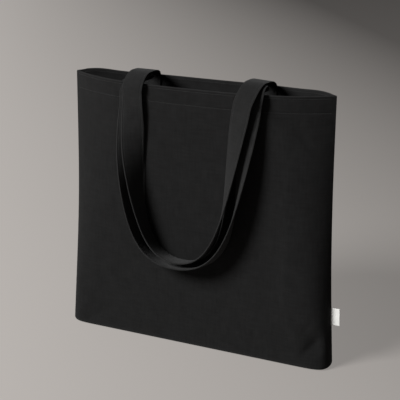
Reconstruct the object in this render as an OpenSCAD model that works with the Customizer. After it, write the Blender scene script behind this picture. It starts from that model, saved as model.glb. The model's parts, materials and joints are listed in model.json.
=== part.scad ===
// Canvas tote bag with boxed corners, a turned-in hem and two long handles,
// standing open with both handles hanging over the front.
// Frame: +Z up, +Y towards the back panel, origin in the middle of the base.

/* [Bag] */
// Width between the side seams at the mouth
mouth_w = 399; // [350:1:440]
// Depth of the open mouth, front to back
mouth_d = 80; // [60:1:110]
// Length of the boxed base
base_w = 416; // [380:1:440]
// Depth of the boxed base
base_d = 46; // [36:1:60]
// Height of the side seams
bag_h = 388; // [340:1:430]
// How far the rim sags between the side seams
rim_sag = 2.5; // [0:0.5:6]
// How far the sides pull in at half height
waist_pull = 3; // [0:0.5:8]
// Radius of the fold between the walls and the base
fold_r = 6; // [4:0.5:8]
// Thickness of the canvas
cloth_t = 1; // [0.6:0.1:1.4]

/* [Hem and seams] */
// Height of the hem that is turned in at the rim
hem_h = 25; // [18:1:34]
// Thickness of the two plies that the hem turns in
hem_t = 1.6; // [1:0.1:2.2]
// Width of the seam allowance inside the side and bottom seams
allowance_w = 11; // [8:1:14]
// Thickness of the two plies in a seam allowance
allowance_t = 2; // [1.4:0.1:2.6]
// Width of a stitch line
thread_w = 0.8; // [0.5:0.1:1.2]
// Height that a stitch line stands proud of the cloth
thread_t = 0.3; // [0.2:0.05:0.4]
// Distance from the rim to the edge stitching
edge_stitch = 4; // [3:0.5:7]

/* [Handles] */
// Width of the handle strap
strap_w = 33; // [26:1:38]
// Thickness of the handle strap
strap_t = 2.5; // [1.6:0.1:3]
// Distance from the middle of the bag to each sewn strap end
strap_x = 89; // [80:1:105]
// Length of each sewn strap end below the rim
tail_h = 38; // [32:1:46]
// How far the back handle's loop hangs below the rim
back_drop = 248.5; // [215:0.5:260]
// How much lower the front handle's loop hangs than the back handle's
loop_step = 9; // [7:0.5:14]
// Height of the back handle's arch above the rim
arch_rise = 13.5; // [13:0.5:22]

/* [Label] */
// How far the folded label stands out of the side seam
label_w = 13; // [8:0.5:20]
// Height of the label
label_h = 26; // [16:1:34]
// Height of the label's lower edge above the floor
label_z = 64; // [40:1:120]
// Thickness of one ply of the label ribbon
label_t = 0.4; // [0.3:0.05:0.6]

/* [Hidden] */

black_canvas = "#26262a";
black_strap = "#2e2e32";
black_thread = "#3a3a3e";
white_ribbon = "#e6e6e2";

// Gap between two plies that are sewn together, and between the two panels at a seam
ply_gap = 0.12;
// Gap between a strap and the cloth that it lies on
strap_gap = 0.7;
// Gap between the two straps where one lies over the other
over_gap = 0.6;

// The rim's outline is a soft lens and the base's outline a rounded rectangle:
// the power of the outline runs from one to the other up the wall
rim_power = 3.5;
base_power = 30;
// Extra room that the acute corners of the mouth need for each millimetre of cloth
tip_room = 0.9;

// Columns across a panel and rows up it
panel_columns = 28;
wall_rows = 14;

function up(s) = s / bag_h;
function fold_in(s) = s >= fold_r ? 0 : fold_r - sqrt(fold_r * fold_r - (fold_r - s) * (fold_r - s));
// Half width and half depth of the bag at height s, o millimetres inside the outer face
function half_w(s, o) =
    base_w / 2 + (mouth_w - base_w) / 2 * up(s) - waist_pull * sin(180 * up(s)) - fold_in(s)
    - o * (1 + tip_room * up(s) * up(s));
function half_d(s, o) = base_d / 2 + (mouth_d - base_d) / 2 * up(s) - fold_in(s) - o;
function outline_power(s) = rim_power + (base_power - rim_power) * pow(1 - up(s), 3);
// Distance from the bag's middle plane to the cloth at x and height s
function skin(x, s, o) =
    half_d(s, o)
    * pow(max(0, 1 - pow(min(1, abs(x) / half_w(s, o)), outline_power(s))), 0.5 + 0.5 * up(s));
function skin_slope(x, s) = (skin(x + 1, s, 0) - skin(x - 1, s, 0)) / 2;
// Height of the rim at x
function rim(x) = bag_h - rim_sag * (1 - pow(min(1, abs(x) / (mouth_w / 2)), 2));
// A point on the front wall
function wall_point(x, s, o) = [x, -skin(x, s, o) - ply_gap / 2, s * rim(x) / bag_h];

// Rows are closer together round the fold at the base
function row_height(i) = i < 4 ? fold_r * [0, 0.12, 0.4, 1][i]
    : fold_r + (bag_h - fold_r) * (i - 3) / (wall_rows - 3);
// Columns are closer together towards the side seams
function column(j) = sin(180 * j / panel_columns - 90);

// Closed slab between two grids of points, an outer one and an inner one
module slab(outer, inner) {
    rows = len(outer);
    cols = len(outer[0]);
    base = rows * cols;
    function o(i, j) = i * cols + j;
    function n(i, j) = base + i * cols + j;
    quads = concat(
        [for (i = [0:rows - 2], j = [0:cols - 2]) [o(i, j), o(i + 1, j), o(i + 1, j + 1), o(i, j + 1)]],
        [for (i = [0:rows - 2], j = [0:cols - 2]) [n(i, j), n(i, j + 1), n(i + 1, j + 1), n(i + 1, j)]],
        [for (j = [0:cols - 2]) [o(0, j), o(0, j + 1), n(0, j + 1), n(0, j)]],
        [for (j = [0:cols - 2]) [o(rows - 1, j + 1), o(rows - 1, j), n(rows - 1, j), n(rows - 1, j + 1)]],
        [for (i = [0:rows - 2]) [o(i + 1, 0), o(i, 0), n(i, 0), n(i + 1, 0)]],
        [for (i = [0:rows - 2]) [o(i, cols - 1), o(i + 1, cols - 1), n(i + 1, cols - 1), n(i, cols - 1)]]
    );
    polyhedron(
        points = concat([for (r = outer) each r], [for (r = inner) each r]),
        faces = [for (q = quads) each [[q[0], q[1], q[2]], [q[0], q[2], q[3]]]]
    );
}

// Band of cloth right across the front wall, from seam to seam, between two depths
module wall_band(heights, outer_o, inner_o) {
    slab(
        [for (s = heights) [for (j = [0:panel_columns]) wall_point(column(j) * half_w(s, outer_o), s, outer_o)]],
        [for (s = heights) [for (j = [0:panel_columns]) wall_point(column(j) * half_w(s, inner_o), s, inner_o)]]
    );
}

function unit(v) = v / norm(v);
function reversed(list) = [for (i = [len(list) - 1:-1:0]) list[i]];
function slice(list, a, b) = [for (i = [a:b]) list[i]];
function bezier(p, t) =
    pow(1 - t, 3) * p[0] + 3 * pow(1 - t, 2) * t * p[1] + 3 * (1 - t) * t * t * p[2] + t * t * t * p[3];

// A strap's path is a list of [centre, width direction]; this adds the face direction
function with_faces(path) = [
    for (i = [0:len(path) - 1])
    let (along = path[min(i + 1, len(path) - 1)][0] - path[max(i - 1, 0)][0])
    [path[i][0], unit(path[i][1]), unit(cross(along, path[i][1]))]
];

// Flat strap swept along a path of [centre, width direction, face direction]
module strap(frames, w, t) {
    rings = len(frames);
    points = [
        for (f = frames, c = [[1, 1], [-1, 1], [-1, -1], [1, -1]])
        f[0] + f[1] * c[0] * w / 2 + f[2] * c[1] * t / 2
    ];
    // Both flat faces are split along the same diagonal, so a twisted strap keeps its thickness
    sides = [
        for (i = [0:rings - 2], k = [0:3])
        let (a = 4 * i + k, b = a + 4, d = 4 * i + (k + 1) % 4, c = d + 4)
        k < 2 ? [a, b, c, d] : [b, c, d, a]
    ];
    ends = [[0, 1, 2, 3], [4 * rings - 1, 4 * rings - 2, 4 * rings - 3, 4 * rings - 4]];
    polyhedron(points = points, faces = [for (q = concat(sides, ends)) each [[q[0], q[1], q[2]], [q[0], q[2], q[3]]]]);
}

// ---- Panels, hems and seams ----

// The seam along the base runs a little behind the middle
base_seam_y = 2;

// A wall with its part of the base, which ends at reach along y and at end along x
module panel(reach, end) {
    outline = [
        for (j = [0:panel_columns])
        let (p = wall_point(column(j) * half_w(0, cloth_t / 2), 0, cloth_t / 2))
        [p[0], p[1]]
    ];
    edge = -ply_gap / 2;
    wall_band([for (i = [0:wall_rows]) row_height(i)], 0, cloth_t);
    linear_extrude(cloth_t)
        polygon(concat(outline, [[end, edge], [end, reach], [-end, reach], [-end, edge]]));
}

module front_panel() {
    color(black_canvas) panel(base_seam_y, half_w(0, cloth_t) - 3);
}

module back_panel() {
    color(black_canvas)
        mirror([0, 1, 0])
            panel(-base_seam_y - ply_gap, half_w(0, cloth_t) - 3 + ply_gap);
}

hem_o = cloth_t + ply_gap;
hem_inner_o = hem_o + hem_t;
hem_s = bag_h - hem_h;

module hem() {
    wall_band([hem_s, bag_h - hem_h / 2, bag_h - 0.3], hem_o, hem_inner_o);
}

module front_hem() {
    color(black_canvas) hem();
}

module back_hem() {
    color(black_canvas) mirror([0, 1, 0]) hem();
}

// Heights where the side seams' allowances start and stop: clear of the base and of the hem
seam_low = cloth_t + allowance_t + 3 * ply_gap + fold_r;
seam_high = hem_s - 1;
// The allowance starts where the lens is wide enough to hold its two plies
seam_set_in = allowance_t + 0.8;

module side_seam(side) {
    rows = 8;
    heights = [for (i = [0:rows]) seam_low + (seam_high - seam_low) * i / rows];
    function edge(s, in) = half_w(s, cloth_t) - seam_set_in - in;
    function face(y) = [
        for (s = heights) [for (in = side > 0 ? [allowance_w, 0] : [0, allowance_w]) [side * edge(s, in), y, s]]
    ];
    color(black_canvas) slab(face(-allowance_t / 2), face(allowance_t / 2));
}

module left_side_seam() {
    side_seam(-1);
}

module right_side_seam() {
    side_seam(1);
}

// The boxed corners are folded in and lie on the base as triangles of two plies
base_top = cloth_t + ply_gap;
corner_depth = base_d / 2 - fold_r - cloth_t - ply_gap;
corner_end = half_w(base_top, cloth_t)
    * pow(1 - pow((corner_depth + 0.6) / half_d(base_top, cloth_t), 2), 1 / outline_power(base_top));

module corner_fold(side) {
    color(black_canvas)
        translate([0, 0, base_top])
            linear_extrude(allowance_t)
                polygon([
                    [side * (corner_end - corner_depth), 0],
                    [side * corner_end, -corner_depth],
                    [side * corner_end, corner_depth]
                ]);
}

module left_corner_fold() {
    corner_fold(-1);
}

module right_corner_fold() {
    corner_fold(1);
}

module bottom_seam() {
    reach = corner_end - corner_depth - 1;
    color(black_canvas)
        translate([-reach, base_seam_y - allowance_w / 2, base_top])
            cube([2 * reach, allowance_w, allowance_t]);
}

// ---- Stitching ----

// One stitch line on the outer face of the front wall
module hem_line(s) {
    wall_band([s - thread_w / 2, s + thread_w / 2], -thread_t - ply_gap, -ply_gap);
}

module hem_lines() {
    hem_line(bag_h - edge_stitch);
    hem_line(hem_s + 2 * thread_w);
}

module front_hem_stitching() {
    color(black_thread) hem_lines();
}

module back_hem_stitching() {
    color(black_thread) mirror([0, 1, 0]) hem_lines();
}

// ---- Handles ----

// Each strap end is flat against the curved hem: its slope is the chord's across the strap's width,
// and its middle stands off by the hollow between chord and curve
rim_z = rim(strap_x);
function hem_face(x, z) = skin(x, z * bag_h / rim_z, hem_inner_o);
function tail_slope(x) =
    (hem_face(abs(x) + strap_w / 2, rim_z) - hem_face(abs(x) - strap_w / 2, rim_z)) / strap_w;
function tail_hollow(x, z) =
    hem_face(x, z) - (hem_face(abs(x) + strap_w / 2, z) + hem_face(abs(x) - strap_w / 2, z)) / 2 + 0.15;
function tail_y(x, z) = hem_face(x, z) - tail_hollow(x, z) - ply_gap - strap_t / 2;
// The arches leave the sewn ends just under the rim
foot_z = rim_z - 2;
// The back handle is sewn on a little to one side
back_left_x = -strap_x - 6;
back_right_x = strap_x - 3;

// Stitch line between two points [x, s] on the outer face of the front wall
function wall_run(a, b) = with_faces([
    for (k = [0:4])
    let (
        x = a[0] + (b[0] - a[0]) * k / 4,
        s = a[1] + (b[1] - a[1]) * k / 4,
        across = cross([b[0] - a[0], 0, b[1] - a[1]], [-skin_slope(x, s), -1, 0])
    )
    [wall_point(x, s, -thread_t / 2 - ply_gap), across]
]);

// The same line on the inner face of the sewn strap end at x
function tail_run(x, a, b) = with_faces([
    for (p = [a, b])
    [
        unit([1, -tail_slope(x) * sign(x), 0]) * (p[0] - x)
        + [x, (strap_t + thread_t) / 2 + ply_gap - tail_y(x, p[1] * rim_z / bag_h), p[1] * rim_z / bag_h],
        cross([b[0] - a[0], 0, b[1] - a[1]], [0, 1, 0])
    ]
]);

// Box with a cross in it, which holds the sewn end at x between the two rows of the hem
box_low = hem_s + 4 * thread_w;
box_high = bag_h - edge_stitch - 2 * thread_w;
box_reach = strap_w / 2 - 4;

module box_stitching(x) {
    corners = [
        [x - box_reach, box_low], [x + box_reach, box_low],
        [x + box_reach, box_high], [x - box_reach, box_high]
    ];
    for (run = [[0, 1], [1, 2], [2, 3], [3, 0], [0, 2], [1, 3]]) {
        strap(wall_run(corners[run[0]], corners[run[1]]), thread_w, thread_t);
        strap(tail_run(x, corners[run[0]], corners[run[1]]), thread_w, thread_t);
    }
}

module front_tail_stitching() {
    color(black_thread) for (x = [-strap_x, strap_x]) box_stitching(x);
}

module back_tail_stitching() {
    color(black_thread) mirror([0, 1, 0]) for (x = [back_left_x, back_right_x]) box_stitching(x);
}

// The loops hang to one side a little: for each leg, where its middle line starts below the rim,
// what it aims at half way down and what it aims at beside the lowest point
back_left_leg = [for (in = [6, 13, 10]) -(strap_x - in)];
back_right_leg = [for (in = [4, 26.5, 24]) strap_x - in];
back_low_x = -7;
front_left_leg = [for (out = [0, -2, 16]) -(strap_x + out)];
front_right_leg = [for (out = [6, -9, -2]) strap_x + out];
front_low_x = -9;
// The straps lie flat for a hand's breadth below the rim and then turn edge on towards the bottom
leg_top = rim_z - 14;
twist_top = rim_z - 24;
twist_ease = 0.08;
left_twist = 2;
front_right_twist = 1.25;
back_right_twist = 0.95;
// The right legs start a little turned already, and at the bottom the straps turn past edge on
front_right_turn = 13;
back_right_turn = 24;
low_turn = 100;
// Just below the rim the left legs stand off the wall, and the front handle's right leg a little
left_stand_off = 3;
front_right_stand_off = 0.35;
stand_off_z = rim_z - 17;
stand_off_reach = 28;
leg_steps = 32;

function twist(z, low, first, power) =
    let (
        q = min(1, max(0, (twist_top - z) / (twist_top - low))),
        eased = q * q * (1 + twist_ease) / (q + twist_ease)
    )
    first + (low_turn - first) * (1 - pow(1 - eased, power));
function stand_off(x, z, lift) =
    (x < 0 ? left_stand_off : lift > 0 ? 0 : front_right_stand_off)
    * exp(-pow((z - stand_off_z) / stand_off_reach, 2));
function turned(across, angle) = across * cos(angle) + [0, -1, 0] * sin(angle);

// One leg as [middle point, width direction], from the rim down to the lowest point
function leg(aims, low_x, low_z, bias, lift, first, power) =
    let (
        reach = leg_top - low_z,
        curve = [[aims[0], leg_top], [aims[1], leg_top - reach * bias], [aims[2], low_z], [low_x, low_z]]
    )
    [
        for (k = [0:leg_steps])
        let (
            p = bezier(curve, k / leg_steps),
            next = bezier(curve, min(1, k / leg_steps + 0.01)),
            last = bezier(curve, max(0, k / leg_steps - 0.01)),
            out = sign(aims[0]) * unit([last[1] - next[1], next[0] - last[0]]),
            turn = twist(p[1], low_z, first, power),
            y = -skin(p[0], p[1], 0) - strap_gap - stand_off(aims[0], p[1], lift) - lift * max(0, cos(turn))
                - strap_t / 2 * abs(cos(turn)) - strap_w / 2 * sin(turn),
            flat = [out[0], -skin_slope(p[0], p[1]) * out[0], out[1]]
        )
        [[p[0], y, p[1]], turned(flat, turn)]
    ];

over_lift = strap_t + over_gap;
back_low_z = rim_z - back_drop;
front_low_z = back_low_z - loop_step;
back_left_leg_path = leg(back_left_leg, back_low_x, back_low_z, 0.55, over_lift, 0, left_twist);
back_right_leg_path = leg(
    back_right_leg, back_low_x, back_low_z, 0.48, over_lift, back_right_turn, back_right_twist
);
front_left_leg_path = leg(front_left_leg, front_low_x, front_low_z, 0.52, 0, 0, left_twist);
front_right_leg_path = leg(
    front_right_leg, front_low_x, front_low_z, 0.46, 0, front_right_turn, front_right_twist
);

// Arches: the back handle's runs from the back rim up over the mouth and down outside the front rim
function crest_set_back(x) = x < 0 ? 25 : 28;
function crest_aside(x) = x < 0 ? 8 : 7.5;
crest_z = rim_z + arch_rise;
arch_steps = 10;

function sampled(curve, steps) = [for (k = [0:steps]) bezier(curve, k / steps)];

function mix(a, b, k) = a + (b - a) * k;
function width_at(x, back) = unit([sign(x), back * tail_slope(x), 0]);

// Sewn end below the foot of an arch; back is 1 on the back wall and -1 on the front wall
function tail_end(x, back) = [[x, back * tail_y(x, rim_z - tail_h), rim_z - tail_h], width_at(x, back)];

// The last part of the back handle's arch, from its crest down to the start of a leg
bulge_x = -5;
left_bulge = 8;
right_bulge = 5;
function arch_fall(x, crest, leg_path) =
    let (
        end = leg_path[0][0],
        across = turned(width_at(end[0] + 8 * sign(x), -1), x < 0 ? 0 : back_right_turn),
        lean = (leg_path[1][0] - end) / (end[2] - leg_path[1][0][2]),
        points = sampled([
            crest,
            crest - [0, crest_set_back(x) / 2, 0],
            end - lean * 19 - [bulge_x, x < 0 ? left_bulge : right_bulge, 0],
            end
        ], arch_steps)
    )
    [for (i = [0:arch_steps]) [points[i], mix(across, leg_path[0][1], i / arch_steps)]];

function back_arch(x, leg_path) =
    let (
        foot = [x, tail_y(x, foot_z), foot_z],
        end = leg_path[0][0],
        set_back = crest_set_back(x),
        crest = [(x + end[0]) / 2 + crest_aside(x), end[1] + set_back, crest_z],
        rise = sampled([foot, foot + [0, 0, arch_rise * 0.6], crest + [0, set_back, 0], crest], arch_steps),
        fall = arch_fall(x, crest, leg_path)
    )
    concat(
        [tail_end(x, 1)],
        [for (i = [0:arch_steps]) [rise[i], mix(width_at(x, 1), fall[0][1], i / arch_steps)]],
        slice(fall, 1, arch_steps)
    );

// The front handle's arch runs back over the mouth and turns, and then follows the back handle's arch
// down, one strap's thickness inside it, and ends where its own leg starts
function shift_crest(x) = x < 0 ? 1 : 3.5;
function front_arch(x, leg_path, over_arch) =
    let (
        foot = [x, -tail_y(x, foot_z), foot_z],
        first = arch_steps + 1,
        last = len(over_arch) - 1,
        end = leg_path[0][0],
        shift_end = end[0] - over_arch[last][0][0],
        under = [
            for (i = [first:last])
            let (
                along = unit(over_arch[min(i + 1, last)][0] - over_arch[i - 1][0]),
                across = over_arch[i][1],
                shift = mix(shift_crest(x), shift_end, pow((i - first) / (last - first), 2))
            )
            [over_arch[i][0] - [0, along[2], -along[1]] * over_lift + across * shift / across[0], across]
        ],
        miss = end - under[last - first][0],
        fall = [
            for (i = [0:last - first])
            let (k = i / (last - first), eased = k * k * (3 - 2 * k))
            [under[i][0] + miss * eased, mix(under[i][1], leg_path[0][1], eased)]
        ],
        crest = fall[0][0],
        turn = crest + [0, 5, -3.4],
        rise = sampled([foot, foot + [0, 0, 7], turn - [0, 0, 4.5], turn], arch_steps),
        over = sampled([turn, turn + [0, 0, 2.2], crest + [0, 3, 0], crest], 5)
    )
    concat(
        [tail_end(x, -1)],
        [for (i = [0:arch_steps]) [rise[i], mix(width_at(x, -1), fall[0][1], i / arch_steps)]],
        [for (p = slice(over, 1, 5)) [p, fall[0][1]]],
        slice(fall, 1, len(fall) - 2),
        [leg_path[0]]
    );

back_left_arch = back_arch(back_left_x, back_left_leg_path);
back_right_arch = back_arch(back_right_x, back_right_leg_path);
front_left_arch = front_arch(-strap_x, front_left_leg_path, back_left_arch);
front_right_arch = front_arch(strap_x, front_right_leg_path, back_right_arch);

// Each whole strap, from its left sewn end over the rim, down, round and up to its right sewn end
function whole_strap(left_arch, left_leg, right_leg, right_arch) = with_faces(concat(
    left_arch,
    slice(left_leg, 1, leg_steps),
    reversed(slice(right_leg, 0, leg_steps - 1)),
    slice(reversed(right_arch), 1, len(right_arch) - 1)
));

back_strap = whole_strap(back_left_arch, back_left_leg_path, back_right_leg_path, back_right_arch);
front_strap = whole_strap(front_left_arch, front_left_leg_path, front_right_leg_path, front_right_arch);
back_end = len(back_strap) - 1;
front_end = len(front_strap) - 1;
// Frames of the back handle where its rear bend ends, and where the front bends start and end
rear_bend_end = 4;
front_bend_start = arch_steps + 5;
bent_leg = 4;
back_bend_end = len(back_left_arch) - 1 + bent_leg;
front_bend_end = len(front_left_arch) - 1 + bent_leg;

// One stretch of a strap between two of its frames
module stretch(frames, a, b) {
    color(black_strap) strap(slice(frames, a, b), strap_w, strap_t);
}

module front_handle_left_tail() {
    stretch(front_strap, 0, 1);
}

module front_handle_right_tail() {
    stretch(front_strap, front_end - 1, front_end);
}

module back_handle_left_tail() {
    stretch(back_strap, 0, 1);
}

module back_handle_right_tail() {
    stretch(back_strap, back_end - 1, back_end);
}

module back_handle_left_rear_bend() {
    stretch(back_strap, 1, rear_bend_end);
}

module back_handle_right_rear_bend() {
    stretch(back_strap, back_end - rear_bend_end, back_end - 1);
}

module back_handle_left_bridge() {
    stretch(back_strap, rear_bend_end, front_bend_start);
}

module back_handle_right_bridge() {
    stretch(back_strap, back_end - front_bend_start, back_end - rear_bend_end);
}

module back_handle_left_front_bend() {
    stretch(back_strap, front_bend_start, back_bend_end);
}

module back_handle_right_front_bend() {
    stretch(back_strap, back_end - back_bend_end, back_end - front_bend_start);
}

module back_handle_loop() {
    stretch(back_strap, back_bend_end, back_end - back_bend_end);
}

module front_handle_left_bend() {
    stretch(front_strap, 1, front_bend_end);
}

module front_handle_right_bend() {
    stretch(front_strap, front_end - front_bend_end, front_end - 1);
}

module front_handle_loop() {
    stretch(front_strap, front_bend_end, front_end - front_bend_end);
}

// ---- Label ----

// The label follows the side seam, which leans a little
label_gap = 0.9;
label_lean = atan((half_w(label_z, 0) - half_w(label_z + label_h, 0)) / label_h);
fold_inner_r = 0.15;

// A ribbon folded in half: two plies that meet in a round fold at the outer end
module folded_ribbon() {
    outer_r = fold_inner_r + label_t;
    flat_w = label_w - outer_r;
    linear_extrude(label_h)
        difference() {
            union() {
                translate([0, -outer_r]) square([flat_w, 2 * outer_r]);
                translate([flat_w, 0]) circle(outer_r, $fn = 32);
            }
            translate([-1, -fold_inner_r]) square([flat_w + 1, 2 * fold_inner_r]);
            translate([flat_w, 0]) circle(fold_inner_r, $fn = 32);
        }
}

module side_label() {
    color(white_ribbon)
        translate([half_w(label_z, 0) + label_gap, 0, label_z])
            rotate([0, -label_lean, 0])
                folded_ribbon();
}

front_panel();
back_panel();
front_hem();
back_hem();
left_side_seam();
right_side_seam();
bottom_seam();
left_corner_fold();
right_corner_fold();
front_hem_stitching();
back_hem_stitching();
front_handle_left_tail();
front_handle_right_tail();
back_handle_left_tail();
back_handle_right_tail();
front_tail_stitching();
back_tail_stitching();
back_handle_left_rear_bend();
back_handle_right_rear_bend();
back_handle_left_bridge();
back_handle_right_bridge();
back_handle_left_front_bend();
back_handle_right_front_bend();
back_handle_loop();
front_handle_left_bend();
front_handle_right_bend();
front_handle_loop();
side_label();
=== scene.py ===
# %% [markdown]
# # A canvas tote bag
#
# The real bag is sewn from two cotton canvas panels. Each panel is turned in at the rim as a hem, the
# panels meet in a seam at each side and along the base, and a long flat handle is sewn inside each hem.
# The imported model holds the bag's sizes and its joints. This script dresses it as cloth, ply by ply.

# %% Load the frame
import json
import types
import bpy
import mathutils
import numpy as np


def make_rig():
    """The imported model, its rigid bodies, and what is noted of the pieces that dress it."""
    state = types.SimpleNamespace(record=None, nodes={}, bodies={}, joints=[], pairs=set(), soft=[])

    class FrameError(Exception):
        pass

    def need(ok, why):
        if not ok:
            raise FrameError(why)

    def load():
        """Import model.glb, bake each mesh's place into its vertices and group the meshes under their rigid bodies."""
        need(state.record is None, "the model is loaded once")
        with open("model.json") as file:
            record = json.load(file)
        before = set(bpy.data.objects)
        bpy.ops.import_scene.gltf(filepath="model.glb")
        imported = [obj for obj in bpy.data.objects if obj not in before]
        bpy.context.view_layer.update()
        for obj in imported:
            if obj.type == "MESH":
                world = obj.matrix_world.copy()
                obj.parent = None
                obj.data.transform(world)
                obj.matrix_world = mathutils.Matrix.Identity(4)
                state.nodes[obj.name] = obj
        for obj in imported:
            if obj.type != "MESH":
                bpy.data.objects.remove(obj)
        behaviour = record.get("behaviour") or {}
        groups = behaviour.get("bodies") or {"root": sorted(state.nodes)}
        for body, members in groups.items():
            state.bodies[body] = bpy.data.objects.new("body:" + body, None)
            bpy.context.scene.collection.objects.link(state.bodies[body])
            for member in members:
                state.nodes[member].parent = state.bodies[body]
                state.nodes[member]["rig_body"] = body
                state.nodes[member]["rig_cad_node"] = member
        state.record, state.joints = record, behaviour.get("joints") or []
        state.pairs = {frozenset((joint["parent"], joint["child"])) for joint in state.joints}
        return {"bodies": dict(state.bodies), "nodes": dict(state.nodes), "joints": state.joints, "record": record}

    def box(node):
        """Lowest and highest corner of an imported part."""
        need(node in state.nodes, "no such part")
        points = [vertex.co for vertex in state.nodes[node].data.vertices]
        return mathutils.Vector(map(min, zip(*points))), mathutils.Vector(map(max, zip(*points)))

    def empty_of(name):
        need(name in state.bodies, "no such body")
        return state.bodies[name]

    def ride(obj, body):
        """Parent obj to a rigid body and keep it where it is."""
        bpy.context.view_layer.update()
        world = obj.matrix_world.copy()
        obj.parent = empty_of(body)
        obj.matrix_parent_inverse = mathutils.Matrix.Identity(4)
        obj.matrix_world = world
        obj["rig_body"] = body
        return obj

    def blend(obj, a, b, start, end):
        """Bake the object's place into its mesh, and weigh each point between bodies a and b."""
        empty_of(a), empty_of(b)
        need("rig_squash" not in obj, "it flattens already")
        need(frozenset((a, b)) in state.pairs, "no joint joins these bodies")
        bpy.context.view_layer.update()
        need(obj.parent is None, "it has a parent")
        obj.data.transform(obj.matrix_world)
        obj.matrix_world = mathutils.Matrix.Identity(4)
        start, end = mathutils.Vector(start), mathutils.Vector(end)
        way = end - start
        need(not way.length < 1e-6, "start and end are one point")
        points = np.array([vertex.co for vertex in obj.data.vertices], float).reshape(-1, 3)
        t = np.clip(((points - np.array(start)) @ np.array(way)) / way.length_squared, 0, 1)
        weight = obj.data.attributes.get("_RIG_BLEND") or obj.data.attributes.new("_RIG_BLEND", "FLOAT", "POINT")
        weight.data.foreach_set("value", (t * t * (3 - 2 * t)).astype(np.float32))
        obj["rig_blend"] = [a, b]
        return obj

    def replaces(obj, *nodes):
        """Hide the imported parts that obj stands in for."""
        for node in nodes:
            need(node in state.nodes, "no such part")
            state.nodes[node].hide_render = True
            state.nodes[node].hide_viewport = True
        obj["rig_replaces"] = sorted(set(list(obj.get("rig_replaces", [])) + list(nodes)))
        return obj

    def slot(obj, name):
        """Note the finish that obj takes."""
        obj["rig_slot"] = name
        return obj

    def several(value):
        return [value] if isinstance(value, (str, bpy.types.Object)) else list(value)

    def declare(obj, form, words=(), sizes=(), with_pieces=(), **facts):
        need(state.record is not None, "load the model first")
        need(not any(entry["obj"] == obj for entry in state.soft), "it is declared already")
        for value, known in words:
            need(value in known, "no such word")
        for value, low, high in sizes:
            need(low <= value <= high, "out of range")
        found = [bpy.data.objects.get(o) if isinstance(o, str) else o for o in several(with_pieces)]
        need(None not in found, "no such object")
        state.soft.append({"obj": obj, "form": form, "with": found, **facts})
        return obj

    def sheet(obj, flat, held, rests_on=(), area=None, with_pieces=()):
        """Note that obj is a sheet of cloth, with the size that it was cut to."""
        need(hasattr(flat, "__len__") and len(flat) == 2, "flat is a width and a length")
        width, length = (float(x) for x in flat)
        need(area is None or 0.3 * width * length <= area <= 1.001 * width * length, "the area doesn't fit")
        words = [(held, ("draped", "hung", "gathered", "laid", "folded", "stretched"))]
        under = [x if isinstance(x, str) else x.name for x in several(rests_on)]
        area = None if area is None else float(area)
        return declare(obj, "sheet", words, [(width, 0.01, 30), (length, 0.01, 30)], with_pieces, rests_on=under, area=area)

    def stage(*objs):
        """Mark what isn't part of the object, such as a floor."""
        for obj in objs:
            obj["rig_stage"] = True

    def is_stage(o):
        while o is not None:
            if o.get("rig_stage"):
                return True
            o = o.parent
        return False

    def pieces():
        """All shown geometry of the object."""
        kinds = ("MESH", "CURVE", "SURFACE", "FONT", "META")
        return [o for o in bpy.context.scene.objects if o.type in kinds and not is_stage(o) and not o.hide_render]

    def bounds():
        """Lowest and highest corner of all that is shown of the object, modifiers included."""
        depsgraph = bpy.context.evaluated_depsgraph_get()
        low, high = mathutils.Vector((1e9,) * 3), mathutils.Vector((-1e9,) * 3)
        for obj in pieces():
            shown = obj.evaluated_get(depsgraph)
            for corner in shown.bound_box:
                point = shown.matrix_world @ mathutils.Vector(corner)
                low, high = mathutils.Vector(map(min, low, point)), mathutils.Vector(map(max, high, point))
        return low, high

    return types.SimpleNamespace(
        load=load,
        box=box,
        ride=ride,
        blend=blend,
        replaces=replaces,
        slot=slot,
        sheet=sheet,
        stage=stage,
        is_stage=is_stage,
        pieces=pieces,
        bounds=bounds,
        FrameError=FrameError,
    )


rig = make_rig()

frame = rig.load()

import json
import math

import bmesh
import bpy
from mathutils import Matrix, Vector, noise

MM = 0.001
cad_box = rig.bounds()
print("CAD box in mm:", [[round(c / MM, 1) for c in corner] for corner in cad_box])

# %% [markdown]
# ## The camera
#
# A long lens from a little above and to the right of the front panel keeps the bag's upright edges
# nearly parallel, as in a catalogue picture. Its angles are in degrees: a turn to the right, a tilt down
# and a roll. The roll is the last factor, so it turns the camera about its own axis.

# %% Camera
TURN, TILT, ROLL = 25.50, 16.96, 0.52
camera_data = bpy.data.cameras.new("camera")
camera_data.sensor_width = 36
camera_data.lens = 99.70
camera = bpy.data.objects.new("camera", camera_data)
bpy.context.scene.collection.objects.link(camera)
camera.matrix_world = (
    Matrix.Translation((0.652655, -1.365158, 0.678875))
    @ Matrix.Rotation(math.radians(TURN), 4, "Z")
    @ Matrix.Rotation(math.radians(90 - TILT), 4, "X")
    @ Matrix.Rotation(math.radians(ROLL), 4, "Z")
)
bpy.context.scene.camera = camera
print("camera at", [round(c, 3) for c in camera.location])

# %% [markdown]
# ## The bag's sizes
#
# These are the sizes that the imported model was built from, in millimetres. The cloth follows the same
# few rules: the wall leans from a boxed base to a lens-shaped mouth, and the rim sags in the middle.
# A letter s stands for a height measured up the wall, and z for a height in space.

# %% Sizes in millimetres
BAG_H, RIM_SAG = 388, 2.5
MOUTH_W, MOUTH_D = 399, 80
BASE_W, BASE_D, FOLD_R = 416, 46, 6
WAIST_PULL = 3
CLOTH_T, PLY_GAP, TIP_ROOM = 1, 0.12, 0.9
CANVAS_T = 0.8
HEM_H, HEM_T, EDGE_STITCH = 25, 1.6, 4
HEM_S = BAG_H - HEM_H
STITCH_ROWS = (BAG_H - EDGE_STITCH, HEM_S + 1.6)
BASE_SEAM_Y = 2
STRAP_W, STRAP_T, STRAP_X = 33, 2.5, 89
STRAP_GAP, OVER_GAP = 0.7, 0.6
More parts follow.
